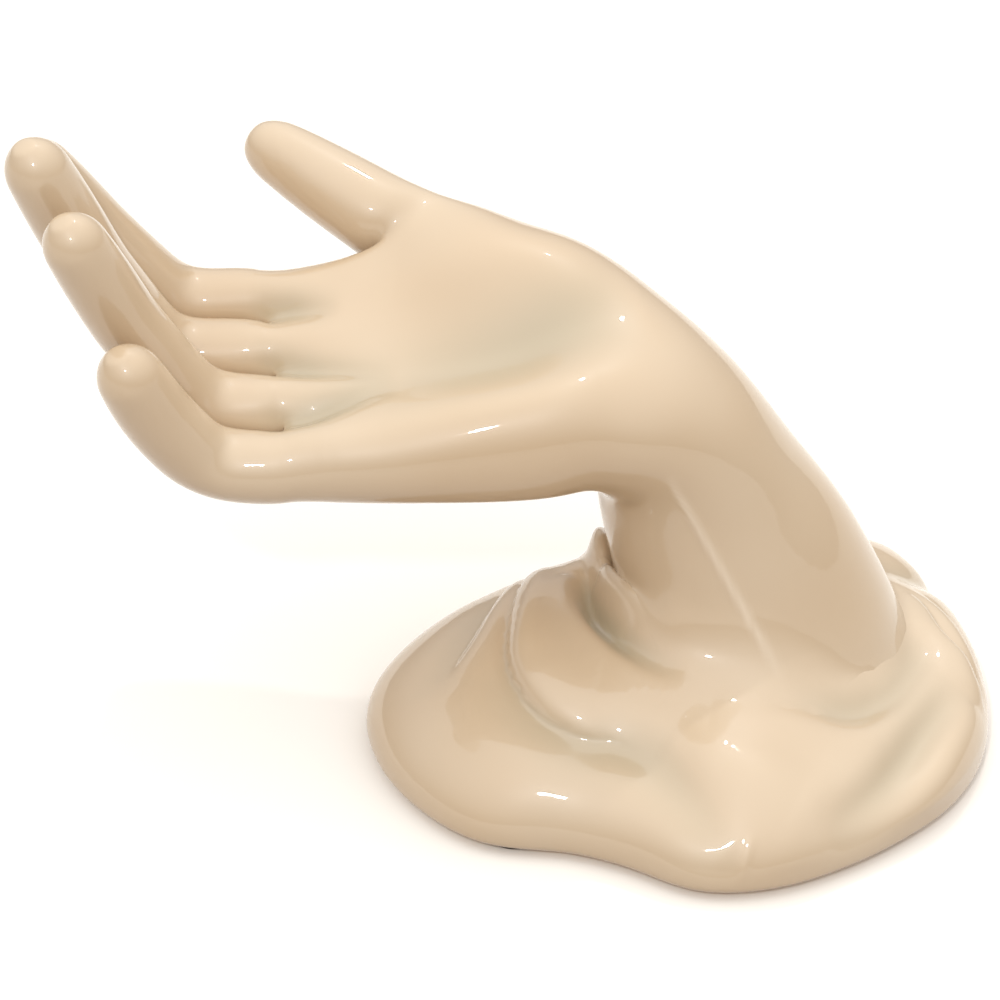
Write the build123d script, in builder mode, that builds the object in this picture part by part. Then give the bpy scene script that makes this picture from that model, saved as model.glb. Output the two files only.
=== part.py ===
from build123d import *
from functools import partial
import math
import os

os.makedirs("parts", exist_ok=True)

# A life-size glazed ceramic hand, palm up like a small tray, whose forearm rises out of a
# base modelled as gathered cloth. Fingertips point to minus X, the viewer stands at minus Y,
# and Z is up. The origin is the middle of the whole piece's box, on the table.

MM = 1

# Draped base: a hollow casting with a floor
base_right = 47.3 * MM  # middle of the base, from the origin
base_back = -0.9 * MM
base_half_width = 90 * MM  # the rim's reach, which the rim shares follow
cuff_height = 38 * MM  # where the cloth closes round the arm, above the foot face
drape_wall = 5 * MM
floor_thickness = 5 * MM
drain_hole_diameter = 14 * MM
fold_depth = 9 * MM
run_in_height = 14 * MM  # how far the cloth climbs along the arm, told at the arm's middle

# Forearm and wrist: the line of the bones leans, then turns until it lies level
arm_foot_right = 27 * MM  # where that line meets the floor, from the middle of the base
arm_foot_back = 12 * MM
arm_length = 79.5 * MM  # straight run, from the floor to the turn of the wrist
arm_half_width = 31 * MM
arm_rise = 35 * MM  # to the palm side of the bone line
arm_depth = 33 * MM  # to the back side of it
wrist_radius = 40 * MM
wrist_half_width = 31 * MM
wrist_rise = 20 * MM
wrist_depth = 23 * MM
casting_wall = 5 * MM
arm_lean = 19  # degrees from upright
palm_tilt = 16  # degrees, turning the palm towards the viewer

# Palm
palm_length = 75 * MM  # level run, from the turn of the wrist to the knuckles
palm_rise = 20 * MM  # to the top of its two mounds
palm_depth = 15 * MM
knuckle_slant = 10  # degrees, the thumb side reaching further
root_run = 9 * MM  # how far finger shapes run back before the knuckle face trims them

# Fingers
finger_gap = 0.5 * MM
finger_row_offset = 0.6 * MM  # the row of fingers stands off to the little finger's side
finger_bend_radius = 16 * MM
index_width = 19 * MM
index_first = 17.2 * MM  # straight runs, from the knuckle face, between the bends, and to the tip
index_middle = 24 * MM
index_end = 35 * MM
index_lifts = (-2, 56, 62)  # degrees above level of the three runs
middle_width = 19.6 * MM
middle_first = 20.6 * MM
middle_middle = 27.8 * MM
middle_end = 44.2 * MM
middle_lifts = (-1, 65.5, 73)
ring_width = 19.4 * MM
ring_first = 13.2 * MM
ring_middle = 28.2 * MM
ring_end = 38 * MM
ring_lifts = (0, 63, 71)
little_width = 20.2 * MM
little_first = 15 * MM
little_middle = 14.2 * MM
little_end = 22.8 * MM
little_lifts = (1, 60, 71)
little_drop = 1.2 * MM  # how far it starts below the other fingers

# Thumb
thumb_width = 22 * MM
thumb_length = 80.7 * MM
thumb_rise = 3 * MM  # its root, above the bone line
thumb_spread = 29  # degrees, sideways from the fingers
thumb_lift = 15.5  # degrees above the palm

# Felt pads under the rim
pad_diameter = 16 * MM
pad_thickness = 1.5 * MM
pad_inset = 14 * MM  # rim to the middle of a pad
pad_bearings = (45, 135, 225, 315)  # degrees

# The rim's reach at every 15 degrees, from plus X through the back
rim_shares = (
    0.978, 0.99, 1.01, 1.03, 1.01, 0.923, 0.84, 0.76, 0.70, 0.70, 0.78, 0.91,
    1.015, 1.02, 0.985, 0.925, 0.80, 0.79, 0.87, 0.89, 0.89, 0.905, 0.945, 0.97,
)
# How much flatter than a dome the cloth falls, at the same bearings
slack_shares = (
    0.00, 0.00, 0.00, 0.00, 0.05, 0.15, 0.30, 0.40, 0.50, 0.55, 0.55, 0.45,
    0.40, 0.30, 0.25, 0.20, 0.10, 0.05, 0.00, 0.00, 0.00, 0.00, 0.00, 0.00,
)
rim_step = 15  # degrees

# Folds of the cloth, each along a line: half width, then its places right of and behind the
# base's middle, all as shares of the rim's reach, with a share of the fold depth at each
fold_line_shares = (
    (0.24, (-0.38, 0.34, 0.10), (-0.42, 0.12, 0.50), (-0.44, -0.06, 0.60), (-0.42, -0.20, 0.60),
     (-0.36, -0.32, 0.50), (-0.26, -0.40, 0.30), (-0.14, -0.44, 0.00)),
    (0.14, (-0.60, -0.10, 0.00), (-0.55, -0.31, -0.20), (-0.46, -0.42, -0.30), (-0.35, -0.48, -0.38),
     (-0.23, -0.51, -0.40), (-0.13, -0.56, -0.36), (-0.04, -0.66, -0.30), (0.07, -0.84, -0.08)),
    (0.18, (0.09, -0.57, 0.30), (0.19, -0.61, 0.33), (0.30, -0.68, 0.18)),
    (0.14, (0.20, -0.33, 0.00), (0.34, -0.34, -0.25), (0.46, -0.34, -0.36), (0.56, -0.29, -0.38),
     (0.66, -0.19, -0.34), (0.73, -0.04, -0.24), (0.76, 0.11, 0.00)),
    (0.13, (0.84, -0.15, -0.10), (0.79, -0.24, -0.29), (0.72, -0.36, -0.38), (0.65, -0.48, -0.40),
     (0.56, -0.60, -0.33), (0.46, -0.69, -0.24), (0.35, -0.76, -0.07)),
    (0.14, (0.45, 0.52, -0.22), (0.56, 0.62, -0.40), (0.66, 0.72, -0.31), (0.74, 0.81, -0.09)),
    (0.16, (0.27, 0.52, 0.00), (0.26, 0.64, 0.40), (0.21, 0.77, 0.35), (0.12, 0.88, 0.00)),
    (0.14, (0.00, 0.48, -0.20), (-0.08, 0.59, -0.35), (-0.18, 0.68, -0.27), (-0.28, 0.74, -0.07)),
    (0.14, (0.64, 0.37, -0.11), (0.77, 0.41, -0.29), (0.89, 0.47, -0.22), (0.96, 0.50, -0.06)),
)

# The rim turns under below this share of the cuff's height, and is drawn in at the foot
rim_height_share = 0.10
rim_turn_shares = ((0.00, 0.94), (0.05, 0.985))
drape_levels = 14
drape_bearing_step = 7.5  # degrees
cuff_lean_right = 14  # degrees, the cuff standing higher on the left
cuff_lean_front = 11  # degrees, and higher at the back
run_in_share = 0.5  # the climb begins at this share of the way to the rim
fold_run_share = 2.2  # most that a fold moves a ring outwards, of its lift
drape_core_share = 0.5  # the innermost ring, inside the arm, of the arm's half width
drain_share = 0.45  # the base's own drain hole, left of the middle

# Round sections, as shares of the reach to each side
section_shares = (
    (1.00, 0.00), (0.88, 0.57), (0.54, 0.88), (0.00, 1.00), (-0.54, 0.88), (-0.88, 0.57),
    (-1.00, 0.00), (-0.88, -0.57), (-0.54, -0.88), (0.00, -1.00), (0.54, -0.88), (0.88, -0.57),
)

# Sections of the forearm: place along the straight run, then the reach to the thumb side, to
# the little finger's side, to the palm side and to the back
arm_section_shares = (
    (-0.25, 1.05, 1.05, 1.14, 1.03),
    (0.10, 1.03, 1.03, 1.12, 1.02),
    (0.50, 1.00, 1.00, 1.08, 1.00),
    (0.86, 0.92, 0.91, 0.88, 0.92),
)
# Sections in the turn of the wrist, as shares of the turn and of the wrist's reaches
wrist_section_shares = (
    (0.20, 0.92, 0.91, 1.23, 1.17),
    (0.56, 1.11, 1.05, 1.15, 1.01),
)
# Sections of the palm: place along its level run, reaches as before, then the hollow between
# the mounds as a share of their rise
palm_section_shares = (
    (-0.026, 1.17, 0.95, 1.20, 1.17, 0.25),
    (0.238, 1.30, 0.99, 1.13, 1.11, 0.45),
    (0.510, 1.16, 1.02, 0.90, 1.00, 0.43),
    (0.774, 0.98, 1.02, 0.69, 0.93, 0.28),
    (1.038, 0.97, 1.01, 0.54, 0.84, 0.10),
    (1.250, 0.97, 1.00, 0.48, 0.78, 0.05),
)
cavity_end_share = 0.51  # the casting's cavity stops here, short of the knuckles

# Sections of a finger, evenly spaced from the knuckle face to the tip, as shares of its half
# width: across, palm side, back
finger_section_shares = (
    (1.00, 0.95, 0.97),
    (1.00, 0.95, 0.97),
    (0.99, 0.94, 0.98),
    (0.98, 0.93, 1.00),
    (0.97, 0.93, 1.02),
    (0.96, 0.94, 1.01),
    (0.96, 0.96, 0.98),
    (0.95, 0.97, 0.96),
    (0.94, 0.96, 0.95),
    (0.92, 0.93, 0.93),
    (0.89, 0.89, 0.89),
)
thumb_section_shares = (
    (0.85, 0.60, 0.70),
    (1.28, 0.95, 1.03),
    (1.42, 1.05, 1.05),
    (1.36, 1.07, 1.04),
    (1.26, 1.06, 1.04),
    (1.14, 1.04, 1.04),
    (1.05, 1.01, 1.01),
    (0.96, 0.95, 0.95),
    (0.86, 0.86, 0.86),
)
fingertip_share = 1.05  # length of the round tip, of the half width
fingertip_bearings = (24, 44, 60, 72, 82)  # degrees up the tip's quarter ellipse
thumb_root_shares = (0.245, 0.81)  # along the palm's run, and of its half width

# Heights and the joints between castings
foot_height = pad_thickness
floor_height = foot_height + floor_thickness
wrist_turn = 90 - arm_lean
turn_length = wrist_radius * math.radians(wrist_turn)
palm_start = arm_length + turn_length
finger_widths = (index_width, middle_width, ring_width, little_width)
palm_half_width = (sum(finger_widths) + 3 * finger_gap) / 2
arm_foot = Vector(base_right + arm_foot_right, base_back + arm_foot_back, floor_height)


def palm_side(turned):
    """The direction out of the palm side, where the bone line has turned by so many degrees."""
    angle = math.radians(arm_lean + turned)
    return Vector(math.cos(angle), 0, math.sin(angle))


def bone_plane(distance):
    """A plane square to the bone line: X to the thumb side, Y out of the palm."""
    turned = min(max(distance - arm_length, 0) / turn_length, 1) * wrist_turn
    rise = palm_side(turned)
    forward = Vector(-rise.Z, 0, rise.X)
    first = palm_side(0)
    up_arm = Vector(-first.Z, 0, first.X) * min(distance, arm_length)
    round_wrist = (rise - first) * wrist_radius
    past_wrist = forward * max(distance - palm_start, 0)
    tilt = math.radians(palm_tilt * turned / wrist_turn)
    across = Vector(0, math.cos(tilt), 0) + rise * math.sin(tilt)
    return Plane(
        origin=arm_foot + up_arm + round_wrist + past_wrist, x_dir=across, z_dir=forward * -1
    )


def round_section(plane, thumb_reach, little_reach, rise, depth, hollow_share=0):
    """One closed section; the hollow lowers the middle of its palm side."""
    points = []
    for side_share, lift_share in section_shares:
        across = side_share * (thumb_reach if side_share > 0 else little_reach)
        lift = lift_share * (rise if lift_share > 0 else depth)
        if lift_share > 0:
            lift *= 1 - hollow_share * (1 - abs(side_share)) ** 2
        points.append((across, lift))
    with BuildSketch(plane) as section:
        with BuildLine():
            Spline(*points, periodic=True)
        make_face()
    return section.sketch


def arm_sections(inset):
    """The forearm's sections from the floor to the wrist joint, drawn in by the inset."""
    sections = []
    for place, thumb_share, little_share, rise_share, depth_share in arm_section_shares:
        section = round_section(
            bone_plane(place * arm_length),
            thumb_share * arm_half_width - inset,
            little_share * arm_half_width - inset,
            rise_share * arm_rise - inset,
            depth_share * arm_depth - inset,
        )
        sections.append(section)
    return sections + [wrist_section(row, inset) for row in wrist_section_shares]


def wrist_section(row, inset):
    turn_share, thumb_share, little_share, rise_share, depth_share = row
    return round_section(
        bone_plane(arm_length + turn_share * turn_length),
        thumb_share * wrist_half_width - inset,
        little_share * wrist_half_width - inset,
        rise_share * wrist_rise - inset,
        depth_share * wrist_depth - inset,
    )


def palm_sections(inset, last_share):
    """The palm's sections from the wrist joint on, drawn in by the inset."""
    sections = [wrist_section(wrist_section_shares[-1], inset)]
    for row in palm_section_shares:
        if row[0] > last_share:
            break
        place, thumb_share, little_share, rise_share, depth_share, hollow_share = row
        section = round_section(
            bone_plane(palm_start + place * palm_length),
            thumb_share * palm_half_width - inset,
            little_share * palm_half_width - inset,
            rise_share * palm_rise - inset,
            depth_share * palm_depth - inset,
            hollow_share,
        )
        sections.append(section)
    return sections


# Forearm, a tube of slip-cast clay open at both ends, and its outer shape for the socket
with BuildPart() as arm_shape:
    loft(arm_sections(0))
    split(bisect_by=Plane.XY.offset(floor_height), keep=Keep.TOP)

with BuildPart() as forearm:
    add(arm_shape.part)
    loft(arm_sections(casting_wall), mode=Mode.SUBTRACT)
forearm.part.label = "forearm"
export_step(forearm.part, "parts/forearm.step")

# Palm, from the wrist joint to the slanted knuckle face
knuckle_middle = bone_plane(palm_start + palm_length)
slant = math.radians(knuckle_slant)
knuckle_face = Plane(
    origin=knuckle_middle.origin,
    x_dir=knuckle_middle.x_dir * math.cos(slant) - knuckle_middle.z_dir * math.sin(slant),
    z_dir=knuckle_middle.z_dir * math.cos(slant) + knuckle_middle.x_dir * math.sin(slant),
)

with BuildPart() as palm_shape:
    loft(palm_sections(0, palm_section_shares[-1][0]))
    split(bisect_by=knuckle_face, keep=Keep.TOP)

with BuildPart() as palm:
    add(palm_shape.part)
    loft(palm_sections(casting_wall, cavity_end_share), mode=Mode.SUBTRACT)
palm.part.label = "palm"
export_step(palm.part, "parts/palm.step")


def finger_plane(across, drop, runs, lifts, distance):
    """A plane square to a finger's bone line, at a distance from the knuckle face."""
    reach = across * math.tan(slant)
    rise = -drop
    lift = math.radians(lifts[0])
    for number, run in enumerate(runs):
        part = min(distance, run)
        distance -= part
        reach += part * math.cos(lift)
        rise += part * math.sin(lift)
        if number + 1 < len(runs):
            turn = math.radians(lifts[number + 1]) - lift
            part = min(distance, turn * finger_bend_radius)
            distance -= part
            next_lift = lift + part / finger_bend_radius
            reach += finger_bend_radius * (math.sin(next_lift) - math.sin(lift))
            rise += finger_bend_radius * (math.cos(lift) - math.cos(next_lift))
            lift = next_lift
    forward = knuckle_middle.z_dir * -1
    origin = knuckle_middle.origin + knuckle_middle.x_dir * across
    origin += forward * reach + knuckle_middle.y_dir * rise
    heading = forward * math.cos(lift) + knuckle_middle.y_dir * math.sin(lift)
    return Plane(origin=origin, x_dir=knuckle_middle.x_dir, z_dir=heading * -1)


def finger_sections(plane_at, length, width, shares):
    """Even sections up to the round tip, then closer ones that follow a quarter of an ellipse.

    The first section lies behind the root, so that the root can be trimmed.
    """
    tip_length = fingertip_share * width / 2
    step = (length - tip_length) / (len(shares) - 2)
    rows = [(-root_run, 1, shares[0])]
    rows += [(number * step, 1, row) for number, row in enumerate(shares[1:])]
    for bearing in fingertip_bearings:
        angle = math.radians(bearing)
        distance = length - tip_length * (1 - math.sin(angle))
        rows.append((distance, math.cos(angle), shares[-1]))
    sections = []
    for distance, narrowing, (side_share, rise_share, depth_share) in rows:
        half_width = narrowing * width / 2
        section = round_section(
            plane_at(distance),
            side_share * half_width,
            side_share * half_width,
            rise_share * half_width,
            depth_share * half_width,
        )
        sections.append(section)
    return sections


# Four fingers side by side, luted to the knuckle face, each a solid casting of its own
fingers = (
    ("index_finger", index_width, 0, (index_first, index_middle, index_end), index_lifts),
    ("middle_finger", middle_width, 0, (middle_first, middle_middle, middle_end), middle_lifts),
    ("ring_finger", ring_width, 0, (ring_first, ring_middle, ring_end), ring_lifts),
    ("little_finger", little_width, little_drop, (little_first, little_middle, little_end), little_lifts),
)
side = palm_half_width - finger_row_offset
for name, width, drop, runs, lifts in fingers:
    across = side - width / 2
    length = sum(runs) + math.radians(lifts[-1] - lifts[0]) * finger_bend_radius
    plane_at = partial(finger_plane, across, drop, runs, lifts)
    with BuildPart() as finger:
        loft(finger_sections(plane_at, length, width, finger_section_shares))
        split(bisect_by=knuckle_face, keep=Keep.BOTTOM)
    finger.part.label = name
    export_step(finger.part, f"parts/{name}.step")
    side -= width + finger_gap

# Thumb, from inside the mound at its root, trimmed by the palm
root_plane = bone_plane(palm_start + thumb_root_shares[0] * palm_length)
thumb_root = root_plane.origin + root_plane.y_dir * thumb_rise
thumb_root += root_plane.x_dir * (thumb_root_shares[1] * palm_half_width)
spread = math.radians(thumb_spread)
lifted = math.radians(thumb_lift)
thumb_level = root_plane.z_dir * -math.cos(spread) + root_plane.x_dir * math.sin(spread)
thumb_across = root_plane.z_dir * math.sin(spread) + root_plane.x_dir * math.cos(spread)
thumb_heading = thumb_level * math.cos(lifted) + root_plane.y_dir * math.sin(lifted)


def thumb_plane(distance):
    """A plane square to the thumb's straight bone line."""
    origin = thumb_root + thumb_heading * distance
    return Plane(origin=origin, x_dir=thumb_across, z_dir=thumb_heading * -1)


with BuildPart() as thumb:
    loft(finger_sections(thumb_plane, thumb_length, thumb_width, thumb_section_shares))
    add(palm_shape.part, mode=Mode.SUBTRACT)
thumb.part.label = "thumb"
export_step(thumb.part, "parts/thumb.step")


def share_at(shares, bearing):
    """The share at a bearing, between the two nearest ones of a table round the rim."""
    place = (bearing % 360) / rim_step
    first = int(place)
    near = shares[first % len(shares)]
    far = shares[(first + 1) % len(shares)]
    return near + (far - near) * (place - first)


def rim_reach(bearing):
    """The rim's distance from the base's middle."""
    return base_half_width * share_at(rim_shares, bearing)


def fold_lift(right_share, back_share):
    """How high the folds lift the cloth at a place; each fold counts where it comes nearest."""
    lift = 0
    for half_width, *line in fold_line_shares:
        nearest = half_width
        depth_share = 0
        for first, second in zip(line, line[1:]):
            run = (second[0] - first[0], second[1] - first[1])
            off = (right_share - first[0], back_share - first[1])
            place = (run[0] * off[0] + run[1] * off[1]) / (run[0] ** 2 + run[1] ** 2)
            place = min(max(place, 0), 1)
            distance = math.hypot(off[0] - run[0] * place, off[1] - run[1] * place)
            if distance < nearest:
                nearest = distance
                depth_share = first[2] + (second[2] - first[2]) * place
        lift += depth_share * math.cos(nearest / half_width * math.pi / 2) ** 2
    return lift * fold_depth


def drape_section(height_share, spread_share, shift, inset):
    """One ring of the drape: its middle shifts to the arm, and it leans, by the same share."""
    height = foot_height + height_share * cuff_height - inset
    height += run_in_height * max(1 - spread_share / run_in_share, 0) ** 2
    climb = (foot_height + cuff_height - floor_height) * math.tan(math.radians(arm_lean))
    lean_right = math.radians(cuff_lean_right * shift)
    lean_front = math.radians(cuff_lean_front * shift)
    plane = Plane(
        origin=(
            base_right + (arm_foot_right - climb) * shift,
            base_back + arm_foot_back * shift,
            height,
        ),
        x_dir=(math.cos(lean_right), 0, -math.sin(lean_right)),
        z_dir=(math.sin(lean_right), -math.sin(lean_front), math.cos(lean_right)),
    )
    core = arm_half_width * drape_core_share
    points = []
    for number in range(round(360 / drape_bearing_step)):
        bearing = number * drape_bearing_step
        fall_share = spread_share ** (1 + share_at(slack_shares, bearing))
        reach = core + (rim_reach(bearing) - core) * fall_share
        angle = math.radians(bearing)
        lift = fold_lift(
            (plane.origin.X - base_right + reach * math.cos(angle)) / base_half_width,
            (plane.origin.Y - base_back + reach * math.sin(angle)) / base_half_width,
        )
        fall = (1 - rim_height_share) * cuff_height * spread_share
        run = (rim_reach(bearing) - core) * max(height_share - rim_height_share, 0)
        reach += lift * min(run / fall, fold_run_share) - inset
        points.append((reach * math.cos(angle), reach * math.sin(angle)))
    with BuildSketch(plane) as ring:
        with BuildLine():
            Spline(*points, periodic=True)
        make_face()
    return ring.sketch


def drape_sections(inset):
    """Rings from the foot, round the rim's turn, and up a quarter of an ellipse to the arm."""
    rings = [drape_section(height, spread, 0, inset) for height, spread in rim_turn_shares]
    for number in range(drape_levels):
        angle = math.radians(90 * number / (drape_levels - 1))
        height_share = rim_height_share + (1 - rim_height_share) * math.sin(angle)
        rings.append(drape_section(height_share, math.cos(angle), 1 - math.cos(angle), inset))
    return rings


# Draped base: hollow, with a level floor that carries the forearm and two drain holes
with BuildPart() as drape_cavity:
    loft(drape_sections(drape_wall))
    split(bisect_by=Plane.XY.offset(floor_height), keep=Keep.TOP)

with BuildPart() as drapery_base:
    loft(drape_sections(0))
    add(drape_cavity.part, mode=Mode.SUBTRACT)
    add(arm_shape.part, mode=Mode.SUBTRACT)
    with BuildSketch(Plane.XY.offset(foot_height)):
        drain_places = (
            (arm_foot.X, arm_foot.Y),
            (base_right - drain_share * base_half_width, base_back),
        )
        with Locations(*drain_places):
            Circle(drain_hole_diameter / 2)
    extrude(amount=floor_thickness, mode=Mode.SUBTRACT)
drapery_base.part.label = "drapery_base"
export_step(drapery_base.part, "parts/drapery_base.step")

# Felt pads glued under the rim, all alike
pad_names = ("felt_pad_back_right", "felt_pad_back_left", "felt_pad_front_left", "felt_pad_front_right")
for name, bearing in zip(pad_names, pad_bearings):
    reach = rim_reach(bearing) - pad_inset
    with BuildPart() as pad:
        with BuildSketch():
            with Locations((
                base_right + reach * math.cos(math.radians(bearing)),
                base_back + reach * math.sin(math.radians(bearing)),
            )):
                Circle(pad_diameter / 2)
        extrude(amount=pad_thickness)
    pad.part.label = name
    export_step(pad.part, f"parts/{name}.step")
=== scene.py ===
import bpy
import bmesh
import math
import numpy as np
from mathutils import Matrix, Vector, bvhtree


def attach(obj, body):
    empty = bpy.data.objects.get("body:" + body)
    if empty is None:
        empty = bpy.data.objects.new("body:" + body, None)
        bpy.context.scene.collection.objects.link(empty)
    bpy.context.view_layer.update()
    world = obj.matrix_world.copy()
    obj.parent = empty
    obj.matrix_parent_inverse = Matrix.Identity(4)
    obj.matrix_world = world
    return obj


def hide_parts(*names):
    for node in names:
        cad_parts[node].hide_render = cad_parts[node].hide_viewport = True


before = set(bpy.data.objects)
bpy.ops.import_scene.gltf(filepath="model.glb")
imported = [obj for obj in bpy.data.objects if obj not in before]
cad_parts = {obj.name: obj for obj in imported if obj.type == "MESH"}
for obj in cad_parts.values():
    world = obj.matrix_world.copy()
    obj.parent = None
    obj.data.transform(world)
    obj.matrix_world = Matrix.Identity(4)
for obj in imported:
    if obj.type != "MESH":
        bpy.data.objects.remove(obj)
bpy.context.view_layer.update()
mm = 0.001
print("frame loaded:", len(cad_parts), "nodes")


def addObject(name, data):
    made = bpy.data.objects.new(name, data)
    bpy.context.scene.collection.objects.link(made)
    return made


def subdivided(mesh, levels=3):
    # the mesh as a subdivision surface rounds it
    carrier = addObject(mesh.name, mesh)
    rounded = carrier.modifiers.new("rounded", "SUBSURF")
    rounded.levels = rounded.render_levels = levels
    bpy.context.view_layer.update()
    shown = carrier.evaluated_get(bpy.context.evaluated_depsgraph_get())
    result = bpy.data.meshes.new_from_object(shown)
    bpy.data.objects.remove(carrier)
    return result


# The line of the bones, as the castings were made: from the floor of the base up the forearm,
# round the wrist and level along the palm. Sizes in millimetres and degrees.
boneLine = {
    "armFoot": Vector((74.3, 11.1, 6.5)),
    "armLength": 79.5,
    "armLean": 19,
    "wristRadius": 40,
    "palmTilt": 16,
}
wristTurn = 90 - boneLine["armLean"]
turnLength = boneLine["wristRadius"] * math.radians(wristTurn)
palmStart = boneLine["armLength"] + turnLength


def palmSide(turned):
    angle = math.radians(boneLine["armLean"] + turned)
    return Vector((math.cos(angle), 0, math.sin(angle)))


def boneFrame(distance):
    # middle, thumb-side direction, palm-side direction and forward direction
    turned = min(max(distance - boneLine["armLength"], 0) / turnLength, 1) * wristTurn
    rise, first = palmSide(turned), palmSide(0)
    forward = Vector((-rise.z, 0, rise.x))
    middle = boneLine["armFoot"] + Vector((-first.z, 0, first.x)) * min(distance, boneLine["armLength"])
    middle += (rise - first) * boneLine["wristRadius"] + forward * max(distance - palmStart, 0)
    tilt = math.radians(boneLine["palmTilt"] * turned / wristTurn)
    across = Vector((0, math.cos(tilt), 0)) + rise * math.sin(tilt)
    return middle, across, across.cross(forward), forward


def handPoint(u, v, w):
    # u runs from the heel of the hand to the fingers, v to the thumb side, w out of the palm
    middle, across, up, forward = boneFrame(palmStart + u)
    return (middle + across * v + up * w) * mm


# Forearm: distance along the bones, reach to the thumb side, to the other side, to the palm
# side, to the back, and how flat the ring is (0 round, 1 as flat as the palm)
forearmShape = {
    "floorHeight": 8,
    "rings": (
        (16, 32.5, 37.0, 41.5, 33.7, 0),
        (30, 31.8, 33.4, 39.4, 33.4, 0),
        (44, 30.8, 31.3, 37.5, 32.8, 0),
        (57, 29.6, 29.4, 34.4, 31.7, 0),
        (68.5, 28.4, 28.0, 30.6, 30.4, 0),
        (79, 28.0, 27.6, 27.2, 28.8, 0),
        (89.5, 28.6, 28.2, 24.6, 27.0, 0),
        (98, 30.8, 30.0, 23.4, 25.2, 0.15),
        (107.3, 34.4, 32.4, 23.2, 23.2, 0.35),
    ),
}
# Palm: the rings from the heel to the webs of the fingers. Heights of the palm side and of the
# back stand over nine columns from the thumb side to the little finger's side.
palmShape = {
    "rings": (
        {"u": -12, "slant": 0, "thumb": 40.3, "little": 35, "side": (0, 0),
         "palm": (14, 19.5, 22, 22.5, 21.5, 21.5, 21, 17.5, 11.5),
         "back": (9, 14, 17, 18.5, 19.5, 19.5, 18.5, 15.5, 10.5)},
        {"u": -2, "slant": 0, "thumb": 46, "little": 37.8, "side": (1, -0.5),
         "palm": (16, 22.5, 24, 22, 19, 19.5, 21, 19.5, 12.5),
         "back": (9, 13, 15.5, 16.5, 17.5, 17.5, 17, 15, 10.5)},
        {"u": 10, "slant": 3, "thumb": 49, "little": 39.3, "side": (2, -1),
         "palm": (17, 23.5, 23.5, 19, 14.5, 14.5, 18, 18.3, 11.5),
         "back": (8, 13, 15, 16, 17, 17, 16.8, 15, 10.5)},
        {"u": 24, "slant": 5, "thumb": 51.5, "little": 40.2, "side": (5, -1.2),
         "palm": (19, 24, 22.5, 16.5, 11.8, 12.2, 16, 17.2, 11),
         "back": (5, 12.5, 14.5, 15, 16, 16, 16, 14.7, 10.3)},
        {"u": 37, "slant": 5, "thumb": 50.5, "little": 40.6, "side": (8, -1.2),
         "palm": (19.5, 21.5, 18, 13, 9.8, 10.6, 14, 15.6, 10.5),
         "back": (3, 11.5, 13.5, 14, 14.8, 15, 15, 14, 10)},
        {"u": 45, "slant": 6, "thumb": 45, "little": 40.7, "side": (8, -1.2),
         "palm": (20, 18, 14.5, 11.5, 9.3, 10.3, 12.5, 14.5, 10),
         "back": (2, 12, 13, 13.5, 14.2, 14.5, 14.5, 13.8, 10)},
        {"u": 54, "slant": 7, "thumb": 38.9, "little": 40.7, "side": (4, -1.2),
         "palm": (15, 14.5, 12, 11, 9, 9.8, 11, 13.4, 9.4),
         "back": (6, 12, 13, 13, 13.8, 14, 14.3, 13.6, 10)},
        {"u": 65, "slant": 8, "thumb": 38.7, "little": 40.4, "side": (0, -1.2),
         "palm": (9.5, 12.2, 8.8, 11, 6.6, 9.6, 7, 12, 8.8),
         "back": (8, 11.5, 12, 12.5, 12.5, 12.8, 13.2, 13, 10)},
        {"u": 76.5, "slant": 9, "thumb": 38.8, "little": 40.1, "side": (0, -1.2),
         "palm": (7.5, 12, 3.5, 12, 3, 11.8, 2.8, 11.6, 6.8),
         "back": (7.5, 12, 8, 12.5, 8, 12.4, 8.5, 13, 9.5)},
    ),
    "columnShare": 0.9,
    "squareness": 2.4,  # 2 is an ellipse
    # places where the thumb grows out of the side: ring, slot and the point
    "thumbSide": {
        (2, 0): (8, 49, 2.5), (2, 1): (9, 46.5, 15.5), (2, 19): (8, 44, -7.5),
        (3, 0): (20.5, 53.5, 6.5), (3, 1): (21.5, 50.5, 19), (3, 19): (22, 48, -4), (3, 2): (23, 38.5, 24),
        (4, 0): (33.2, 57, 11), (4, 1): (33.7, 53, 21), (4, 19): (37, 54, 2),
        (4, 2): (35.5, 39.5, 21.5), (4, 18): (38, 38, -11),
        (5, 0): (41.3, 47, 11.5), (5, 1): (40.5, 44.5, 22.5), (5, 19): (44.3, 47, 0),
        (5, 2): (42.5, 35.2, 17.8), (5, 18): (46, 37, -12),
        (6, 0): (47.3, 39.6, 5), (6, 1): (46.2, 37.8, 16), (6, 19): (50, 39.2, -4),
        (6, 2): (49.5, 30.5, 14), (6, 18): (52, 32.5, -12.5),
    },
}
ringSize = 20
slotTurn = 360 / ringSize  # degrees from one point of a ring to the next
tubeShare = 0.902  # a ring of eight points rounds in by this much under subdivision
armShare = 0.984


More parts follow.
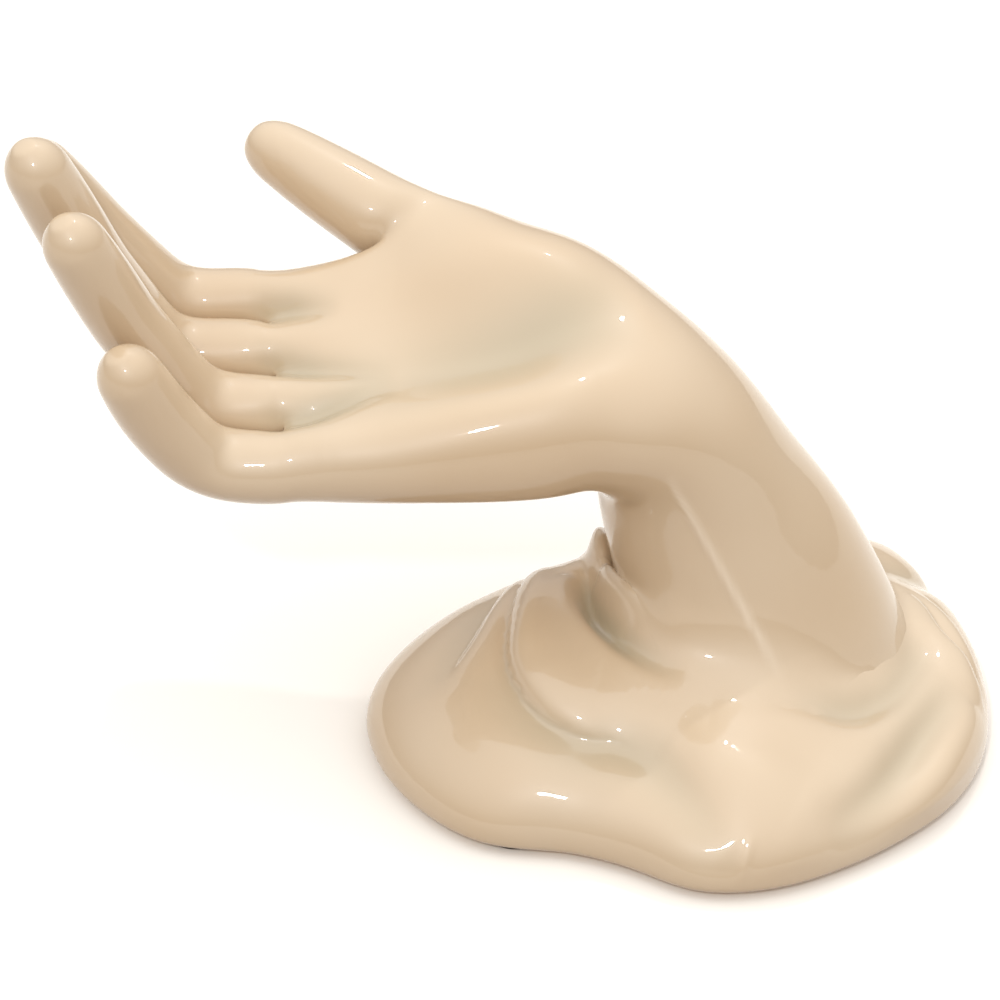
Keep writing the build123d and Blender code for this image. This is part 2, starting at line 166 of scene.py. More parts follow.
def handCage():
    bm = bmesh.new()
    slot = bm.verts.layers.int.new("slot")
    ringNumber = bm.verts.layers.int.new("ring")
    bm.verts.layers.int.new("sector")
    first = bmesh.ops.create_circle(bm, segments=ringSize, radius=1)["verts"]
    for v in first:
        v[slot] = round(math.degrees(math.atan2(v.co.y, v.co.x)) / slotTurn) % ringSize
    ring = {"verts": first, "edges": list({e for v in first for e in v.link_edges})}

    def armPlace(v, row):
        thumb, little, rise, depth, flat = row[1:]
        angle = math.radians(slotTurn * v[slot])
        side, lift = math.cos(angle), math.sin(angle)
        column = 5 - v[slot] if 0 < v[slot] < 10 else v[slot] - 15
        if v[slot] % 10 == 0:
            flatSide, flatLift = side, 0
        else:
            flatSide = column / 4 * palmShape["columnShare"]
            power = palmShape["squareness"]
            flatLift = math.copysign((1 - abs(flatSide) ** power) ** (1 / power), lift)
        side += (flatSide - side) * flat
        lift += (flatLift - lift) * flat
        return (side * (thumb if side > 0 else little) / armShare,
                lift * (rise if lift > 0 else depth) / armShare)

    def grow(number):
        made = bmesh.ops.extrude_edge_only(bm, edges=ring["edges"])["geom"]
        verts = [g for g in made if isinstance(g, bmesh.types.BMVert)]
        fresh = set(verts)
        ring["verts"] = verts
        ring["edges"] = [g for g in made if isinstance(g, bmesh.types.BMEdge) and fresh.issuperset(g.verts)]
        for v in verts:
            v[ringNumber] = number

    # the first ring is level with the floor, the next ones are square to the bones
    rows = forearmShape["rings"]
    lean = math.radians(boneLine["armLean"])
    for v in first:
        side, lift = armPlace(v, rows[0])
        along = (forearmShape["floorHeight"] - boneLine["armFoot"].z - math.sin(lean) * lift) / math.cos(lean)
        middle, across, up, forward = boneFrame(0)
        v.co = (middle + forward * along + across * side + up * lift) * mm
    for row in rows:
        grow(-1)
        for v in ring["verts"]:
            side, lift = armPlace(v, row)
            v.co = handPoint(row[0] - palmStart, side, lift)
    part = {"forearm": set(bm.faces)}
    for number, row in enumerate(palmShape["rings"]):
        grow(number)
        for v in ring["verts"]:
            s = v[slot]
            if s % 10 == 0:
                side, lift = (row["thumb"], row["side"][0]) if s == 0 else (-row["little"], row["side"][1])
            elif s < 10:
                column, lift = 5 - s, row["palm"][s - 1]
                side = column / 4 * palmShape["columnShare"] * (row["thumb"] if column > 0 else row["little"])
            else:
                column, lift = s - 15, -row["back"][19 - s]
                side = column / 4 * palmShape["columnShare"] * (row["thumb"] if column > 0 else row["little"])
            u = row["u"] + side * math.tan(math.radians(row["slant"]))
            if (number, s) in palmShape["thumbSide"]:
                u, side, lift = palmShape["thumbSide"][number, s]
            v.co = handPoint(u, side, lift)
    known = {v[slot]: v for v in ring["verts"]}
    part["palm"] = set(bm.faces) - part["forearm"]

    # the end is closed, then split between the fingers
    bmesh.ops.contextual_create(bm, geom=ring["edges"])
    webs = []
    for top, bottom in ((3, 17), (5, 15), (7, 13)):
        shared = next(f for f in known[top].link_faces if known[bottom] in f.verts)
        bmesh.utils.face_split(shared, known[top], known[bottom])
        webs.append(bm.edges.get((known[top], known[bottom])))
    bmesh.ops.bisect_edges(bm, edges=webs, cuts=1)
    ends = sorted((f for f in bm.faces if len(f.verts) == 8), key=lambda f: -f.calc_center_median().y)

    return bm, slot, ringNumber, part, ends


def growTube(bm, faces, sectors, stations):
    # a cap is extruded along the stations, and each station says where a point of a sector goes
    sector = bm.verts.layers.int["sector"]
    for v, number in sectors.items():
        v[sector] = number
    made = set()
    for station in stations:
        old = list(faces)
        geometry = bmesh.ops.extrude_face_region(bm, geom=old)["geom"]
        verts = {g for g in geometry if isinstance(g, bmesh.types.BMVert)}
        faces = [g for g in geometry if isinstance(g, bmesh.types.BMFace) and verts.issuperset(g.verts)]
        bmesh.ops.delete(bm, geom=[f for f in old if f.is_valid], context="FACES")
        for v in verts:
            v.co = station(v[sector])
        made |= {f for v in verts for f in v.link_faces}
    return {f for f in made if f.is_valid}


# Fingers: width, where the bone line crosses the knuckles, the straight runs up to each bend
# and to the tip, and how steeply each run rises above the palm
fingers = {
    "index_finger": {"width": 19.0, "across": 29.4, "start": 80.2, "rise": 0.2,
                     "runs": (17.2, 24, 35), "lifts": (-2, 56, 62)},
    "middle_finger": {"width": 19.6, "across": 9.94, "start": 76.7, "rise": 0,
                      "runs": (20.6, 27.8, 44.1), "lifts": (-1, 65.5, 73)},
    "ring_finger": {"width": 19.4, "across": -9.96, "start": 73.3, "rise": -0.4,
                    "runs": (13.2, 28.2, 38.0), "lifts": (0, 63, 71)},
    "little_finger": {"width": 20.2, "across": -29.9, "start": 69.8, "rise": -1.2,
                      "runs": (15.0, 14.2, 22.8), "lifts": (1, 60, 71)},
}
fingerForm = {
    "bendRadius": 16,
    "spacing": 7.5,
    # across, palm side and back, as shares of half the width, from the knuckle to the tip
    "shares": ((0.99, 0.98, 0.99), (0.99, 0.98, 0.99), (0.99, 0.96, 0.99), (0.98, 0.93, 1.0),
               (0.97, 0.93, 1.02), (0.96, 0.95, 1.01), (0.96, 0.97, 0.98), (0.95, 0.97, 0.96),
               (0.93, 0.95, 0.95), (0.89, 0.89, 0.89)),
    "tipLength": 1.05,
    "tipAngles": (18, 42, 63),
}


def fingerFrame(finger, distance):
    # centre of a finger in the hand's own directions, and the direction of its run
    reach, rise, lift = finger["start"], finger["rise"], math.radians(finger["lifts"][0])
    radius = fingerForm["bendRadius"]
    for number, run in enumerate(finger["runs"]):
        step = min(distance, run)
        distance -= step
        reach += step * math.cos(lift)
        rise += step * math.sin(lift)
        if number + 1 < len(finger["runs"]):
            turn = math.radians(finger["lifts"][number + 1]) - lift
            step = min(distance, turn * radius)
            distance -= step
            nextLift = lift + step / radius
            reach += radius * (math.sin(nextLift) - math.sin(lift))
            rise += radius * (math.cos(lift) - math.cos(nextLift))
            lift = nextLift
    return reach, rise, lift


def shareAt(shares, place):
    place = min(max(place, 0), 1) * (len(shares) - 1)
    number = min(int(place), len(shares) - 2)
    return [a + (b - a) * (place - number) for a, b in zip(shares[number], shares[number + 1])]


def fingerStations(finger):
    half = finger["width"] / 2
    bend = math.radians(finger["lifts"][2] - finger["lifts"][0])
    length = sum(finger["runs"]) + bend * fingerForm["bendRadius"]
    tip = half * fingerForm["tipLength"]
    count = round((length - tip) / fingerForm["spacing"])
    marks = [((length - tip) * (n + 0.6) / (count - 0.4), 1) for n in range(count)]
    for angle in fingerForm["tipAngles"]:
        angle = math.radians(angle)
        marks.append((length - tip * (1 - math.sin(angle)) * 0.97, math.cos(angle)))
    marks.append((length + 0.2, 0.28))

    def station(mark):
        distance, narrowing = mark
        reach, rise, lift = fingerFrame(finger, distance)
        shares = shareAt(fingerForm["shares"], distance / (length - tip))
        side, palm, back = (x * half * narrowing / tubeShare for x in shares)

        def place(sector):
            angle = math.radians(45 * sector)
            out = math.sin(angle) * (palm if math.sin(angle) > 0 else back)
            across = finger["across"] + math.cos(angle) * side
            return handPoint(reach - out * math.sin(lift), across, rise + out * math.cos(lift))
        return place
    return [station(mark) for mark in marks]


# Thumb: root and direction of its bone line in the hand's own directions, and its half width
# and half thickness at distances along it
thumb = {
    "root": Vector((18.4, 32.3, 3.0)),
    "spread": 29,
    "lift": 15.5,
    "rings": ((36.5, 12.4, 12.0), (45, 11.9, 11.5), (53.5, 11.2, 10.9), (62, 10.3, 10.2), (69.5, 9.4, 9.4),
              (74.6, 8.4, 8.4), (78.4, 6.4, 6.4), (80.6, 3.8, 3.8)),
    "baseSectors": {(4, 0): 0, (4, 1): 1, (5, 1): 2, (6, 1): 3, (6, 0): 4,
                    (6, 19): 5, (5, 19): 6, (4, 19): 7, (5, 0): 8},
}


def thumbStations():
    spread, lift = math.radians(thumb["spread"]), math.radians(thumb["lift"])
    heading = Vector((math.cos(spread) * math.cos(lift), math.sin(spread) * math.cos(lift), math.sin(lift)))
    outward = Vector((-math.sin(spread), math.cos(spread), 0))
    up = heading.cross(outward)

    def station(distance, side, thick, domed):
        def place(sector):
            if sector == 8:
                return handPoint(*(thumb["root"] + heading * (distance + domed)))
            angle = math.radians(45 * sector)
            out = outward * (math.cos(angle) * side / tubeShare) + up * (math.sin(angle) * thick / tubeShare)
            return handPoint(*(thumb["root"] + heading * distance + out))
        return place
    last = len(thumb["rings"]) - 1
    return [station(*row, 1.1 if n == last else 0) for n, row in enumerate(thumb["rings"])]


bm, slot, ringNumber, part, ends = handCage()
for (name, finger), face in zip(fingers.items(), ends):
    middle, across, up, forward = boneFrame(palmStart)
    around = list(face.verts)
    top = max(range(8), key=lambda n: around[n].co.dot(up))
    step = 1 if around[(top + 1) % 8].co.dot(across) < around[top].co.dot(across) else -1
    sectors = {around[(top + step * k) % 8]: (2 + k) % 8 for k in range(8)}
    part[name] = growTube(bm, [face], sectors, fingerStations(finger))
base = set(thumb["baseSectors"])
block = [f for f in part["palm"] if f.is_valid and {(v[ringNumber], v[slot]) for v in f.verts} <= base]
print("thumb base faces", len(block))
sectors = {v: thumb["baseSectors"][v[ringNumber], v[slot]] for f in block for v in f.verts}
part["thumb"] = growTube(bm, block, sectors, thumbStations())
partNames = list(part)
for f in bm.faces:
    f.smooth = True
    for number, name in enumerate(partNames):
        if f in part[name]:
            f.material_index = number
bmesh.ops.recalc_face_normals(bm, faces=bm.faces)
cageMesh = bpy.data.meshes.new("hand_cage")
bm.to_mesh(cageMesh)
bm.free()
for name in partNames:
    cageMesh.materials.append(bpy.data.materials.new("part_" + name))
handMesh = subdivided(cageMesh)

# Valleys and swells of the palm side. Each line has its place along the hand, its place towards
# the thumb and a height, and a half width that fades out.
palmLines = {
    "index_web": {"width": 3.4,
                  "line": ((86, 19.0, -0.5), (80, 19.3, -1.6), (74, 18.6, -2.0), (67, 17.4, -1.2),
                           (60, 16.4, 0))},
    "middle_web": {"width": 3.4,
                   "line": ((84, 0.0, -0.5), (77, -0.3, -1.8), (70, -2.2, -2.4), (62, -3.6, -1.8),
                            (52, -5.0, -0.8), (44, -6, 0))},
    "ring_web": {"width": 3.6,
                 "line": ((81, -19.9, -0.5), (74, -20.0, -1.8), (67, -19.0, -2.8), (59, -16.2, -2.4),
                          (51, -13.2, -1.2), (43, -11, 0))},
    "palm_valley": {"width": 9,
                    "line": ((60, -13, 0), (46, -10.5, -1.0), (30, -6.5, -1.8), (14, -2, -2.2), (0, 3, -2.2),
                             (-11, 7.5, -1.4), (-22, 11, 0))},
    "thumb_mound": {"width": 13,
                    "line": ((44, 30, 0), (30, 28, 1.2), (14, 27, 1.6), (-2, 26, 0.8), (-14, 24, 0))},
    "outer_mound": {"width": 9,
                    "line": ((48, -27, 0), (32, -27, 0.8), (14, -25, 1.4), (0, -22, 1.2), (-12, -18, 0))},
}
# how the lines are pressed in: only where the skin faces out of the palm, and with a darker tint
# in a band somewhat wider than the valley, partly glaze pooled there and partly painted shade
palmPress = {"facing": 2.2, "from": 0.3, "poolAndShadeWidth": 1.5, "fullPoolAndShade": 2.4}
# the webs between the fingers are rounded in two bands, each with its reach along the hand and
# its number of passes
webRounding = {"along": 74, "slant": 0.16, "deepest": -3, "passes": ((9, 5), (5, 5)), "factor": 0.5}


def smoothRun(rows):
    # the same points on a smooth curve, 8 steps to a run
    points = np.array(rows, float)
    ends = np.vstack([2 * points[0] - points[1], points, 2 * points[-1] - points[-2]])
    steps = np.linspace(0, 1, 8, endpoint=False)[:, None]
    runs = []
    for n in range(1, len(ends) - 2):
        a, b, c, d = ends[n - 1:n + 3]
        bend = 2 * a - 5 * b + 4 * c - d + steps * (3 * (b - c) + d - a)
        runs.append(b + 0.5 * steps * (c - a + steps * bend))
    return np.vstack([*runs, points[-1:]])


def nearestRun(plan, curve):
    # distance to a curve in plan, the side it lies on and the curve's height there
    best = np.full(len(plan), 1e9)
    side = np.zeros(len(plan))
    height = np.zeros(len(plan))
    for start, end in zip(curve, curve[1:]):
        run = end[:2] - start[:2]
        length = np.hypot(*run) + 1e-9
        share = np.clip(((plan - start[:2]) @ run) / length ** 2, 0, 1)
        away = plan - start[:2] - share[:, None] * run
        distance = np.hypot(away[:, 0], away[:, 1])
        nearer = distance < best
        best = np.where(nearer, distance, best)
        side = np.where(nearer, np.sign(run[0] * away[:, 1] - run[1] * away[:, 0]), side)
        height = np.where(nearer, start[2] + (end[2] - start[2]) * share, height)
    return best, side, height


def meshArray(mesh, name, number=3):
    values = np.empty(len(mesh.vertices) * number)
    mesh.vertices.foreach_get(name, values)
    return values.reshape(-1, number)


def handPlaces(points):
    # along the hand, towards the thumb and out of the palm, on the palm's own directions
    middle, across, up, forward = boneFrame(palmStart)
    local = points - np.array(middle)
    return np.stack([local @ np.array(forward), local @ np.array(across), local @ np.array(up)], axis=1)


def soften(bm, verts, factor):
    bmesh.ops.smooth_vert(bm, verts=verts, factor=factor, use_axis_x=True, use_axis_y=True, use_axis_z=True)


def setTint(mesh, name, share):
    # the hollow tint is darker where the glaze has run together, and painted shade there as well; the seam
    # tint is paler over an edge
    layer = mesh.attributes.get(name) or mesh.attributes.new(name, "FLOAT", "POINT")
    layer.data.foreach_set("value", np.clip(share, 0, 1))


bm = bmesh.new()
bm.from_mesh(handMesh)
middle, across, up, forward = (np.array(x) for x in boneFrame(palmStart))
for reach, passes in webRounding["passes"]:
    webs = []
    for v in bm.verts:
        local = np.array(v.co) / mm - middle
        off = local @ forward - webRounding["along"] - webRounding["slant"] * (local @ across)
        if abs(off) < reach and local @ up > webRounding["deepest"]:
            webs.append(v)
    for _ in range(passes):
        soften(bm, webs, webRounding["factor"])
bm.to_mesh(handMesh)
bm.free()
places = meshArray(handMesh, "co") / mm
normals = meshArray(handMesh, "normal")
hand = handPlaces(places)
facing = np.clip(normals @ up * palmPress["facing"] - palmPress["from"], 0, 1)
press = np.zeros(len(places))
# the palm's valleys and webs get a darker grey-green tint: glaze pooled in them, and painted shade
pooledAndShaded = np.zeros(len(places))
for valley in palmLines.values():
    best, side, height = nearestRun(hand[:, :2], smoothRun(valley["line"]))
    press += height * np.exp(-(best / valley["width"]) ** 2)
    pooledAndShaded += np.maximum(-height, 0) * np.exp(-(best / valley["width"] / palmPress["poolAndShadeWidth"]) ** 2)
setTint(handMesh, "poolAndShade", pooledAndShaded / palmPress["fullPoolAndShade"] * facing)
places += (press * facing)[:, None] * up
handMesh.vertices.foreach_set("co", (places * mm).ravel())
handMesh.update()
print("hand rounded:", len(handMesh.polygons), "faces")


def cutPart(source, name, number):
    # one piece of the seamless hand: whatever lies beyond a joint shrinks to the joint's middle,
    # which closes the piece with a fan, and the shading stays as it is on the whole hand
    mesh = source.copy()
    mesh.name = name
    bm = bmesh.new()
    bm.from_mesh(mesh)
    own = bm.verts.layers.float_vector.new("shade")
    run = bm.verts.layers.float_vector["run"]
    for v in bm.verts:
        v[own] = v[run] if v[run].length > 0.5 else v.normal
    others = [n for n in range(len(partNames)) if n != number]
    for group in ([[n] for n in others] if name == "palm" else [others]):
        beyond, joint = [], []
        for v in bm.verts:
            inside = [f.material_index in group for f in v.link_faces]
            if all(inside):
                beyond.append(v)
            elif any(inside):
                joint.append(v)
        middle = sum((v.co for v in joint), Vector()) / len(joint)
        bmesh.ops.pointmerge(bm, verts=beyond, merge_co=middle)
    caps = [f for f in bm.faces if f.material_index != number]
    caps += bmesh.ops.holes_fill(bm, edges=[e for e in bm.edges if e.is_boundary], sides=0)["faces"]
    caps = set(caps)
    for f in bm.faces:
        f.material_index = 1 if f in caps else 0
        f.smooth = f not in caps
    bmesh.ops.recalc_face_normals(bm, faces=bm.faces)
    bm.to_mesh(mesh)
    bm.free()
    shade = mesh.attributes["shade"].data
    normals = []
    for face in mesh.polygons:
        for index in face.loop_indices:
            vertex = mesh.loops[index].vertex_index
            normals.append(face.normal.copy() if face.material_index == 1 else shade[vertex].vector.copy())
    for face in mesh.polygons:
        face.material_index = 0
    mesh.normals_split_custom_set(normals)
    for spare in ("shade", "run"):
        mesh.attributes.remove(mesh.attributes[spare])
    mesh.materials.clear()
    piece = addObject("glazed_" + name, mesh)
    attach(piece, "root")
    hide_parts(name)
    return piece


# Draped base: rings from the foot, round the rim's turn and up to the arm. Each ring has its
# height and spread, the share of the way to the arm's own middle, and a lean towards the cuff.
drape = {
    "middle": (47.3, -0.9),
    "rimReach": 90,
    "rim": (0.978, 0.99, 1.01, 1.03, 1.01, 0.923, 0.84, 0.76, 0.70, 0.70, 0.78, 0.91,
            1.015, 1.02, 0.985, 0.925, 0.80, 0.79, 0.869, 0.888, 0.888, 0.905, 0.945, 0.97),
    # how much flatter than a dome the cloth falls, for the same bearings
    "slack": (0.0, 0.0, 0.0, 0.0, 0.05, 0.15, 0.3, 0.4, 0.5, 0.55, 0.55, 0.45,
              0.4, 0.3, 0.25, 0.2, 0.1, 0.05, 0.0, 0.0, 0.0, 0.0, 0.0, 0.0),
    "foot": 1.5,
    "cuffHeight": 38,
    "core": 15.5,
    "armShift": (15.6, 12.0),
    "lean": (14, 11),
    "columns": 72,
    "turn": ((0.0, 0.94), (0.012, 0.965), (0.05, 0.99), (0.085, 1.0)),
    "levels": 15,
    "turnHeight": 0.10,
}


def roundTheRim(shares, bearing):
    # a smooth curve through the shares
    place = (bearing % 360) / 15
    n = int(place)
    t = place - n
    a, b, c, d = (shares[(n + k) % 24] for k in (-1, 0, 1, 2))
    return b + 0.5 * t * (c - a + t * (2 * a - 5 * b + 4 * c - d + t * (3 * (b - c) + d - a)))


def drapePoint(bearing, heightShare, spread, shift):
    leanX, leanY = (math.radians(x * shift) for x in drape["lean"])
    angle = math.radians(bearing)
    rim = drape["rimReach"] * roundTheRim(drape["rim"], bearing)
    reach = drape["core"] + (rim - drape["core"]) * spread ** (1 + roundTheRim(drape["slack"], bearing))
    zDir = Vector((math.sin(leanX), -math.sin(leanY), math.cos(leanX))).normalized()
    xDir = Vector((math.cos(leanX), 0, -math.sin(leanX)))
    yDir = zDir.cross(xDir)
    shiftX, shiftY = (x * shift for x in drape["armShift"])
    middle = Vector((drape["middle"][0] + shiftX, drape["middle"][1] + shiftY,
                     drape["foot"] + drape["cuffHeight"] * heightShare))
    return (middle + xDir * (reach * math.cos(angle)) + yDir * (reach * math.sin(angle))) * mm


bm = bmesh.new()
bearing = bm.verts.layers.float.new("bearing")
first = bmesh.ops.create_circle(bm, segments=drape["columns"], radius=1)["verts"]
for v in first:
    v[bearing] = math.degrees(math.atan2(v.co.y, v.co.x))
edges = list({e for v in first for e in v.link_edges})
rings = [(height, spread, 0) for height, spread in drape["turn"]]
for number in range(1, drape["levels"]):
    angle = math.radians(90 * number / (drape["levels"] - 1))
    height = drape["turnHeight"] + (1 - drape["turnHeight"]) * math.sin(angle)
    rings.append((height, math.cos(angle), 1 - math.cos(angle)))
verts = first
for number, (height, spread, shift) in enumerate(rings):
    if number:
        made = bmesh.ops.extrude_edge_only(bm, edges=edges)["geom"]
        verts = [g for g in made if isinstance(g, bmesh.types.BMVert)]
        fresh = set(verts)
        edges = [g for g in made if isinstance(g, bmesh.types.BMEdge) and fresh.issuperset(g.verts)]
    for v in verts:
        v.co = drapePoint(v[bearing], height, spread, shift)
bmesh.ops.holes_fill(bm, edges=[e for e in bm.edges if e.is_boundary], sides=0)
bmesh.ops.poke(bm, faces=[f for f in bm.faces if len(f.verts) > 4])
for f in bm.faces:
    f.smooth = True
bmesh.ops.recalc_face_normals(bm, faces=bm.faces)
plainMesh = bpy.data.meshes.new("plain_drapery")
bm.to_mesh(plainMesh)
bm.free()
drapeMesh = subdivided(plainMesh)
drapeMesh.name = "glazed_drapery"

# Folds of the cloth. Each line runs in plan, with a height at each of its points; a valley has
# negative ones. A step is high on the left of its run, or on the right where its side is -1.
folds = {
    "left_crease": {"kind": "step", "side": 1, "roll": 4.5, "reach": 14,
                    "line": ((9.2, 28.4), (1.9, 10.3), (-1.7, -3.2), (-3.1, -16.8), (0, -27.4),
                             (6.5, -36.2), (16.2, -42.2), (26.8, -44.0), (34.9, -50.5)),
                    "heights": (0.5, 4.0, 5.0, 5.0, 4.2, 3.0, 1.6, 0.7, 0)},
    "left_crease_lip": {"kind": "step", "side": 1, "roll": 2.2, "reach": 4,
                        "line": ((8.5, 20), (5.2, 8), (1.9, -3.5), (0.2, -13), (0.6, -20)),
                        "heights": (0, 1.0, 1.3, 0.9, 0)},
    "left_crease_foot": {"kind": "wave", "width": 7.5,
                         "line": ((-4, -14), (-2.5, -29), (5.5, -38.5), (16, -44.5), (26.5, -46.5),
                                  (35.5, -51.5), (43.5, -60.5), (49, -69.5), (53.5, -76.5)),
                         "heights": (-0.5, -1.6, -2.6, -3.2, -3.4, -3.2, -2.8, -1.8, -0.8)},
    "side_crease": {"kind": "step", "side": 1, "roll": 4, "reach": 9,
                    "line": ((1.5, 24), (-3.2, 16.9), (-8.4, 5.9), (-12.5, -3.7), (-16.8, -11.6),
                             (-20.2, -18)),
                    "heights": (0, 2.0, 2.6, 2.0, 1.0, 0)},
    "side_hollow": {"kind": "wave", "width": 6,
                    "line": ((-6, 17), (-12.5, 6), (-17.5, -4), (-22.5, -13), (-27, -22)),
                    "heights": (-0.8, -1.6, -1.6, -1.0, 0)},
    "wrinkle": {"kind": "wave", "width": 1.7,
                "line": ((9.0, 4.5), (10.2, 9.1), (13.5, 12.5), (17.3, 11.7), (19.0, 8.0)),
                "heights": (0, -0.6, -0.8, -0.6, 0)},
    "cuff_crease": {"kind": "wave", "width": 3.4,
                    "line": ((20.5, 24), (19.3, 13.5), (19.2, 3.5), (21.4, -4.4), (25.6, -11.6),
                             (31.2, -18.1), (38.3, -23.5), (46, -27)),
                    "heights": (-2.6, -6.0, -8.0, -8.0, -6.0, -3.8, -1.8, 0)},
    "cuff_lip": {"kind": "wave", "width": 3.6,
                 "line": ((23.6, 11), (25.4, 3.4), (29.6, -3.6), (35.0, -9.4), (41.0, -14.4), (47.5, -18.8)),
                 "heights": (0, 4.2, 6.0, 5.2, 2.8, 0)},
    "cuff_gap": {"kind": "wave", "width": 2.6,
                 "line": ((27.5, 17), (29.6, 9.5), (33.2, 2.6), (38.4, -3.6), (44.2, -8.6)),
                 "heights": (-2, -8, -8, -3.5, 0)},
    "cuff_peak": {"kind": "wave", "width": 6.4,
                  "line": ((25.6, 9), (24.2, 16), (25.4, 24), (29, 33), (34, 42)),
                  "heights": (4, 12, 9, 4, 0)},
    "collar_hollow": {"kind": "wave", "width": 5.2,
                      "line": ((66, -30), (78.1, -31.5), (89, -31.0), (98, -26.7), (107, -17.5),
                               (113.5, -4), (115.5, 9)),
                      "heights": (0, -1.6, -3.0, -3.2, -2.8, -2.0, 0)},
    "collar_swell": {"kind": "wave", "width": 7,
                     "line": ((52, -38), (62, -39.5), (75, -40), (88, -41), (99, -37)),
                     "heights": (0, 1.2, 1.5, 0.8, 0)},
    "front_swell": {"kind": "wave", "width": 13,
                    "line": ((55, -52), (64, -56), (74, -62)),
                    "heights": (2.6, 3.0, 1.6)},
    "layer_a": {"kind": "step", "side": -1, "roll": 2.4, "reach": 6,
                "line": ((112.5, 24), (117.2, 17.5), (121.6, 7.5), (127.0, 0.0), (130.6, -8.0),
                         (131.8, -14.8)),
                "heights": (0, 1.2, 2.0, 2.2, 1.7, 0)},
    "layer_b": {"kind": "step", "side": -1, "roll": 2.0, "reach": 4,
                "line": ((114.5, 27.5), (122.1, 20.4), (126.8, 13.2), (130.4, 4.0), (133, -3.7)),
                "heights": (0, 1.4, 1.8, 1.4, 0)},
    "right_valley": {"kind": "wave", "width": 6.0,
                     "line": ((123, -14), (118.5, -22.5), (112, -33.5), (105.8, -44.1), (98, -55.2),
                              (89, -63.3), (79, -69)),
                     "heights": (-0.8, -2.6, -3.4, -3.6, -3.0, -2.2, -0.6)},
    "right_ridge": {"kind": "wave", "width": 5.0,
                    "line": ((128.5, -14), (125, -24), (114.5, -45.5), (99.5, -61.5), (86, -70.5)),
                    "heights": (0, 1.0, 1.6, 1.3, 0)},
    "rim_pinch": {"kind": "wave", "width": 1.1,
                  "line": ((61.6, -71.5), (60.6, -75), (59, -79), (58, -83)),
                  "heights": (0, 0.5, 0.7, 0.6)},
    # behind, where the photograph doesn't look: the same folds, run on
    "back_fold_a": {"kind": "wave", "width": 6.5,
                    "line": ((88, 46), (98, 55), (107, 64), (114, 72)),
                    "heights": (-2.0, -3.6, -2.8, -0.8)},
    "back_fold_b": {"kind": "step", "side": 1, "roll": 5, "reach": 12,
                    "line": ((72, 46), (71, 57), (66, 68), (58, 78)),
                    "heights": (0, 3.6, 3.2, 0)},
    "back_fold_c": {"kind": "wave", "width": 7,
                    "line": ((47, 42), (40, 52), (31, 60), (22, 66)),
                    "heights": (-1.8, -3.2, -2.4, -0.6)},
    "back_fold_d": {"kind": "wave", "width": 6,
                    "line": ((105, 32), (117, 36), (127, 41), (134, 44)),
                    "heights": (-1.0, -2.6, -2.0, -0.5)},
}
# the folds start at this height above the foot and grow over the next millimetres to their full
# size, and then the cloth above the foot is softened a little
foldFinish = {"from": 3, "over": 9, "facing": 3, "fullPoolAndShade": 5, "above": 4, "passes": 2, "factor": 0.4}
# how a step begins a little before its line, and the shallow dip at its foot
stepForm = {"early": 0.6, "dip": 0.18, "dipAt": 1.2, "dipWidth": 2.2, "pastEnds": 2}
# how the cloth rises towards the arm, by the side of the arm that it is on
runIn = {"width": 24, "height": 5, "from": -168, "to": -60, "fade": 44, "elsewhere": 0.1, "most": 1.25}


def foldLift(plan, fold):
    curve = smoothRun([(*p, h) for p, h in zip(fold["line"], fold["heights"])])
    best, side, height = nearestRun(plan, curve)
    if fold["kind"] == "wave":
        return height * np.exp(-(best / fold["width"]) ** 2)
    across = best * side * fold["side"]
    rolled = np.sqrt(1 - (1 - np.clip((across + stepForm["early"]) / fold["roll"], 0, 1)) ** 2)
    fall = np.exp(-(np.maximum(across - fold["roll"], 0) / fold["reach"]) ** 2)
    foot = -stepForm["dip"] * np.exp(-((across + stepForm["dipAt"]) / stepForm["dipWidth"]) ** 2)
    # past the ends of the line a step dies away to both sides
    past = np.minimum(np.hypot(*(plan - curve[0, :2]).T), np.hypot(*(plan - curve[-1, :2]).T))
    square = np.where(best > past - 1e-6, np.exp(-(best / fold["reach"] * stepForm["pastEnds"]) ** 2), 1)
    return height * (rolled * fall + foot) * square


def armDistance(points):
    # how far each point stands from the arm's surface, and on which side of it
    lean = math.radians(boneLine["armLean"])
    local = points - np.array(boneLine["armFoot"])
    along = local @ np.array((-math.sin(lean), 0, math.cos(lean)))
    lift = local @ np.array((math.cos(lean), 0, math.sin(lean)))
    rows = np.array(forearmShape["rings"], float)
    thumbSide, littleSide, rise, depth = (np.interp(along, rows[:, 0], rows[:, n]) for n in (1, 2, 3, 4))
    wide = np.where(local[:, 1] > 0, thumbSide, littleSide)
    deep = np.where(lift > 0, rise, depth)
    radius = np.hypot(local[:, 1], lift) + 1e-6
    share = np.hypot(local[:, 1] / wide, lift / deep)
    return radius * (1 - 1 / share), np.degrees(np.arctan2(local[:, 1], lift))


